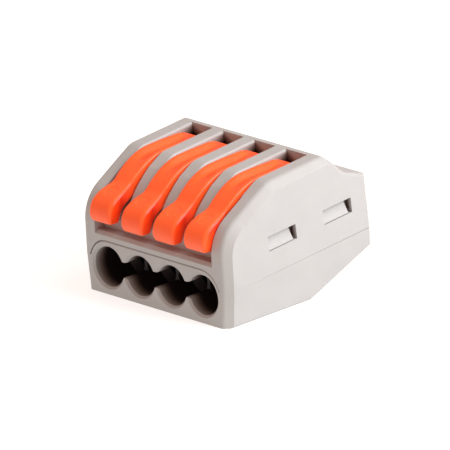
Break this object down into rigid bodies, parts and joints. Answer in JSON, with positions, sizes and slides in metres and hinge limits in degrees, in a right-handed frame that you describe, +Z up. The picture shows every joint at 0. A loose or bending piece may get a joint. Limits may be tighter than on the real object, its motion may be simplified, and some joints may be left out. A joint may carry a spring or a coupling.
{
  "type": "lever wire connector",
  "caption": "Splicing connector with round wire entries side by side, a lever over each one, a two-part plastic case and sprung cage clamps on a common busbar.",
  "frame": {"origin": "centre of the bounding box, at the plane of the flat underside", "axes": "+X across the poles, -Y out of the wire entries, +Z up"},
  "size_m": [0.0226, 0.0218, 0.015],
  "materials": {
    "case_plastic": "fine satin",
    "lever_plastic": "satin, slightly translucent",
    "busbar_metal": "tinned",
    "spring_steel": "rolled strip"
  },
  "bodies": {
    "case": {"housing": "case_plastic", "base": "case_plastic", "busbar": "busbar_metal", "clamp_1": "spring_steel", "clamp_2": "spring_steel", "clamp_3": "spring_steel", "clamp_4": "spring_steel"},
    "lever_1": {"lever_1": "lever_plastic"},
    "lever_2": {"lever_2": "lever_plastic"},
    "lever_3": {"lever_3": "lever_plastic"},
    "lever_4": {"lever_4": "lever_plastic"}
  },
  "joints": [
    {"name": "lever_1_hinge", "type": "hinge", "parent": "case", "child": "lever_1", "pos_m": [-0.0072, 0.00095, 0.0115], "axis": [-1, 0, 0], "range_deg": [0, 94], "deforming": ["clamp_1"]},
    {"name": "lever_2_hinge", "type": "hinge", "parent": "case", "child": "lever_2", "pos_m": [-0.0024, 0.00095, 0.0115], "axis": [-1, 0, 0], "range_deg": [0, 95], "deforming": ["clamp_2"]},
    {"name": "lever_3_hinge", "type": "hinge", "parent": "case", "child": "lever_3", "pos_m": [0.0024, 0.00095, 0.0115], "axis": [-1, 0, 0], "range_deg": [0, 95], "deforming": ["clamp_3"]},
    {"name": "lever_4_hinge", "type": "hinge", "parent": "case", "child": "lever_4", "pos_m": [0.0072, 0.00095, 0.0115], "axis": [-1, 0, 0], "range_deg": [0, 94], "deforming": ["clamp_4"]}
  ]
}
